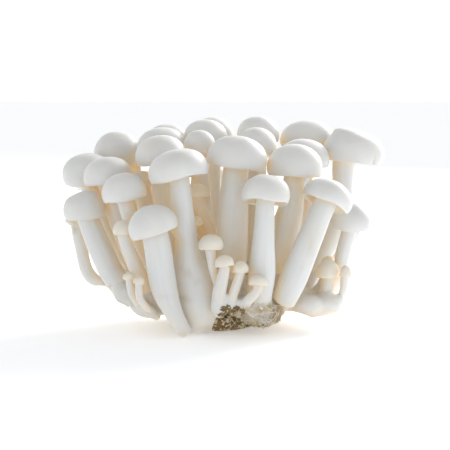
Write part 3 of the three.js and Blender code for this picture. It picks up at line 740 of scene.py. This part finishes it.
def mycelium_finish():
    """White felted tissue, cream to beige in patches, and brown where it was cut or bruised, with painted
    shade where other flesh stands close round it
    """
    finish, tree, shader = new_finish("mycelium_felt", {
        "Roughness": 0.75, "Subsurface Weight": 0.4, "Subsurface Radius": (1.0, 0.75, 0.5),
        "Subsurface Scale": 1.5 * MM})
    place = add_node(tree, "TexCoord", "Object", {})
    patches = noise_pattern(tree, place, 150, 8, 0.65)
    age = calculate(tree, "MULTIPLY_ADD", patches, 0.55, point_layer(tree, "aged"))
    tone = ramp(tree, calculate(tree, "SUBTRACT", age, 0.24), FELT_TONES)
    felt = relief(tree, noise_pattern(tree, place, 1400, 5), 0.5, 0.2 * MM)
    # painted shade: the felt turns FELT_SHADE where other flesh stands close round it
    feed(shader, {"Base Color": mix(tree, openness(tree, 0.05, 0.3), FELT_SHADE, tone), "Normal": felt})
    return finish


mycelium = mycelium_finish()
foot.data.materials.append(mycelium)
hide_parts("stem_foot")
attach(foot, "root")


# The piece of sawdust block
# The cluster still holds a piece of the sawdust it grew in: brown chips pressed together, tied by white
# threads of mycelium. The solid is made finer and crumbly, and chips and threads are laid over its surface.
BLOCK_GRAIN = 0.7 * MM  # size of the block's mesh
CRUMBLE = [(2.4 * MM, 0.8), (1.0 * MM, 0.5)]
CRUMBLE_LOSS = 0.35  # millimetres that the surface lies deeper, to leave room for the chips
RESTING_RISE = 1.2 * MM  # the underside stays flat up to here
BLOCK_TONE = 0.12

block = merged_copy("sawdust_block", "sawdust_block_skin")
apply_modifier(block, "REMESH", mode="VOXEL", voxel_size=BLOCK_GRAIN)
apply_modifier(block, "SMOOTH", factor=0.5, iterations=3)
bpy.ops.object.shade_smooth()
for vertex, normal in points_and_normals(block):
    resting = min(vertex.co.z / RESTING_RISE, 1)
    vertex.co += normal * (layered(vertex.co, CRUMBLE) - CRUMBLE_LOSS) * MM * resting

WOOD_TONES = [
    (0.10, (0.09, 0.055, 0.025)), (0.30, (0.24, 0.16, 0.07)), (0.55, (0.43, 0.33, 0.17)),
    (1.0, (0.84, 0.74, 0.52))]


def sawdust_finish():
    """Brown wood, each chip in a tone of its own, from straw to nearly black"""
    finish, tree, shader = new_finish("sawdust", {"Roughness": 0.85})
    place = add_node(tree, "TexCoord", "Object", {})
    grain = noise_pattern(tree, place, 700, 6)
    tone = calculate(tree, "MULTIPLY_ADD", grain, 0.35, point_layer(tree, "tone"))
    rough_wood = relief(tree, grain, 0.6, 0.2 * MM)
    feed(shader, {"Base Color": ramp(tree, tone, WOOD_TONES), "Normal": rough_wood})
    return finish


def set_tones(piece, values):
    """The tone of wood at each point of a piece"""
    layer = piece.data.attributes.new("tone", "FLOAT", "POINT")
    layer.data.foreach_set("value", np.array(values, np.float32))


sawdust = sawdust_finish()
set_tones(block, [BLOCK_TONE] * len(block.data.vertices))
block.data.materials.append(sawdust)
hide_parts("sawdust_block")
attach(block, "root")


# The loose chips
# Splinters of wood stick to the block on all sides, and to the foot just above it. One splinter is modelled,
# and each chip is a copy with a size, a tilt, bent corners and a tone of its own.
CHIP_COUNT = 2200
CHIP_SIZES = ((0.5, 2.0), (0.25, 0.75), (0.12, 0.3))  # least and most length, width and thickness, in mm
CHIP_BEND = ((0.75, 1.25), (0.7, 1.3), (0.7, 1.3))  # how far each corner strays, as shares of its place
CHIP_TILT = (0.75, 1)  # 1 lies flat on the surface
CHIP_SINK = (-0.1, 0.25)  # how deep or high it lies, in millimetres
CHIP_BOTTOM, CHIP_LOWEST = 0.05 * MM, 0.4 * MM  # no chip reaches below the first, or starts below the second
DARK_CHIP_LINE = 8 * MM  # above this the chips are nearly black
DARK_CHIP_TONES, DRY_TONES, DRY_POWER = (0.0, 0.22), (0, 1), 0.9
CRUMB_LINE = 11.5 * MM  # chips still stick to the front of the foot up to about here
CRUMB_FRONT, CRUMB_RIGHT, CRUMB_BOTTOM = -16 * MM, 7 * MM, 1 * MM
CRUMB_LEFT, CRUMB_SLOPE = -6.5 * MM, 2  # the left edge at table height, and how steeply it leans right
MAT_CRUMB_RIGHT, MAT_CRUMB_LINE = 18 * MM, 4 * MM
RAGGED = 2 * MM  # size and height of the steps in these lines


def surface_spots(piece, count, draw, wanted):
    """Random spots on a skin as (place, normal), evenly by area, where wanted(place) holds"""
    faces = [face for face in piece.data.polygons if wanted(face.center)]
    spots = [(face.center.copy(), face.normal.copy()) for face in faces]
    return draw.choices(spots, [face.area for face in faces], k=count)


def chips_stick(place):
    """Whether chips still stick to the foot here: above the block, and along the mat's lower edge"""
    ragged = RAGGED * noise.noise(place / RAGGED)
    from_left = place.z / CRUMB_SLOPE + CRUMB_LEFT < place.x
    over_block = from_left and place.x < CRUMB_RIGHT and CRUMB_BOTTOM < place.z < CRUMB_LINE + ragged
    mat_edge = CRUMB_RIGHT < place.x < MAT_CRUMB_RIGHT and place.z < MAT_CRUMB_LINE + ragged
    return place.y < CRUMB_FRONT and (over_block or mat_edge)


def loose_piece(name, points, faces, finish):
    """A piece made of many small closed shapes"""
    mesh = bpy.data.meshes.new(name)
    mesh.from_pydata([tuple(point) for point in points], [], faces)
    mesh.materials.append(finish)
    made = bpy.data.objects.new(name, mesh)
    bpy.context.scene.collection.objects.link(made)
    return made


# one splinter: a block with a point half-way along each edge and in each face, so that it can bend
bpy.ops.object.select_all(action="DESELECT")
bpy.ops.mesh.primitive_cube_add(size=1)
splinter = bpy.context.object
bpy.ops.object.mode_set(mode="EDIT")
bpy.ops.mesh.subdivide(number_cuts=1)
bpy.ops.object.mode_set(mode="OBJECT")
splinter_points = np.array([v.co for v in splinter.data.vertices])
splinter_faces = [tuple(face.vertices) for face in splinter.data.polygons]
bpy.data.objects.remove(splinter)

draw = random.Random(7)
spots = surface_spots(block, CHIP_COUNT, draw, lambda place: place.z > CHIP_LOWEST)
spots += surface_spots(foot, CHIP_COUNT // 3, draw, chips_stick)
points, faces, chip_tones = [], [], []
for place, normal in spots:
    size = [draw.uniform(*limits) for limits in CHIP_SIZES]
    lie = Vector((draw.gauss(0, 1), draw.gauss(0, 1), draw.gauss(0, 1))).normalized()
    forward = (lie - normal * lie.dot(normal) * draw.uniform(*CHIP_TILT)).normalized()
    side = forward.cross(normal).normalized()
    turn = np.array([forward, side, side.cross(forward)]).T
    bend = np.array([[draw.uniform(*limits) for limits in CHIP_BEND] for _ in splinter_points])
    shape = splinter_points * np.array(size) * MM * bend
    corners = shape @ turn.T + np.array(place + normal * draw.uniform(*CHIP_SINK) * MM)
    corners[:, 2] = np.maximum(corners[:, 2], CHIP_BOTTOM)
    faces.extend(tuple(len(points) + v for v in face) for face in splinter_faces)
    points.extend(corners)
    tone = draw.uniform(*DARK_CHIP_TONES) if place.z > DARK_CHIP_LINE else draw.uniform(*DRY_TONES) ** DRY_POWER
    chip_tones.extend([tone] * len(corners))
chips = loose_piece("sawdust_chips", points, faces, sawdust)
set_tones(chips, chip_tones)
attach(chips, "root")


# The threads of mycelium
# White threads run down over the chips and the mat of mycelium, which they hold together, and one thick
# strand hangs at the front of the block. Each is a thin closed tube that follows the surface.
BLOCK_THREADS, MAT_THREADS = 90, 90
THREAD_STEPS = 9
THREAD_THICKNESS = (0.06, 0.15)  # least and most, in millimetres
THREAD_RISE = 0.2 * MM  # how far threads stand off the surface
THREAD_BOTTOM = 0.1 * MM
THREAD_LOWEST = 3 * MM  # no thread starts on the block below this
MAT_MIDDLE = 0.6  # nor on the foot where it belongs less than this to the mat
THREAD_SIDES = 5
THREAD_ACROSS = (0.31, 0.17, 0.94)  # a direction that no thread follows
STRAND = [  # points along the thick strand, in millimetres
    (3.5, -26, 11.0), (3.1, -26, 9.4), (4.0, -26, 7.4), (3.7, -26, 5.4), (3.3, -26, 3.6), (4.2, -26, 2.2)]
STRAND_OUT, STRAND_THICKNESS = Vector((0, -1.5 * MM, 0)), 0.65 * MM


def thread(path, thickness):
    """Points and faces of one closed thread along a path"""
    path = np.array(path)
    ahead = np.gradient(path, axis=0)
    ahead /= np.linalg.norm(ahead, axis=1)[:, None]
    across = np.cross(ahead, THREAD_ACROSS)
    across /= np.linalg.norm(across, axis=1)[:, None]
    third = np.cross(ahead, across)
    turn = np.arange(THREAD_SIDES) / THREAD_SIDES * 2 * math.pi
    thin = np.sin(np.linspace(0.15, math.pi - 0.15, len(path))) ** 0.5 * thickness
    ring = np.einsum("s,pk->psk", np.cos(turn), across) + np.einsum("s,pk->psk", np.sin(turn), third)
    tube = (path[:, None] + ring * thin[:, None, None]).reshape(-1, 3)
    sheets = []
    for p in range(len(path) - 1):
        for k in range(THREAD_SIDES):
            a, b = p * THREAD_SIDES + k, p * THREAD_SIDES + (k + 1) % THREAD_SIDES
            sheets.append((a, b, b + THREAD_SIDES, a + THREAD_SIDES))
    last = (len(path) - 1) * THREAD_SIDES
    return tube, sheets + [tuple(range(THREAD_SIDES))[::-1], tuple(range(last, last + THREAD_SIDES))]


skin_of = {}
for carrier in (block, foot):
    corners = [v.co for v in carrier.data.vertices]
    skin_of[carrier] = BVHTree.FromPolygons(corners, [face.vertices for face in carrier.data.polygons])
strand = [skin_of[block].find_nearest(Vector(at) * MM)[0] + STRAND_OUT for at in STRAND]
paths = [(strand, STRAND_THICKNESS)]
on_block = surface_spots(block, BLOCK_THREADS, draw, lambda place: place.z > THREAD_LOWEST)
on_foot = surface_spots(foot, MAT_THREADS, draw, lambda place: on_mat(place / MM) > MAT_MIDDLE)
starts = [(block, spot) for spot in on_block] + [(foot, spot) for spot in on_foot]
# each thread starts downwards, and turns a little at each step
for carrier, (place, normal) in starts:
    path, at = [], place.copy()
    step = Vector((draw.gauss(0, 0.6), draw.gauss(0, 0.3), -draw.uniform(0.2, 1.0))) * MM
    for _ in range(THREAD_STEPS):
        found, outward, _, _ = skin_of[carrier].find_nearest(at)
        path.append(found + outward * THREAD_RISE)
        step += Vector((draw.gauss(0, 0.35), draw.gauss(0, 0.35), draw.gauss(0, 0.3))) * MM
        at = found + step * 0.8
    paths.append((path, draw.uniform(*THREAD_THICKNESS) * MM))
points, faces = [], []
for path, thickness in paths:
    tube, sheets = thread(path, thickness)
    faces.extend(tuple(len(points) + v for v in sheet) for sheet in sheets)
    points.extend(tube)
points = [(x, y, max(z, THREAD_BOTTOM)) for x, y, z in points]
threads = loose_piece("mycelium_threads", points, faces, mycelium)
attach(threads, "root")

# the straight sleeves were only patterns
for pattern in (cap_sleeve[0], button_sleeve[0], swelling_sleeve[0]):
    bpy.data.objects.remove(pattern)
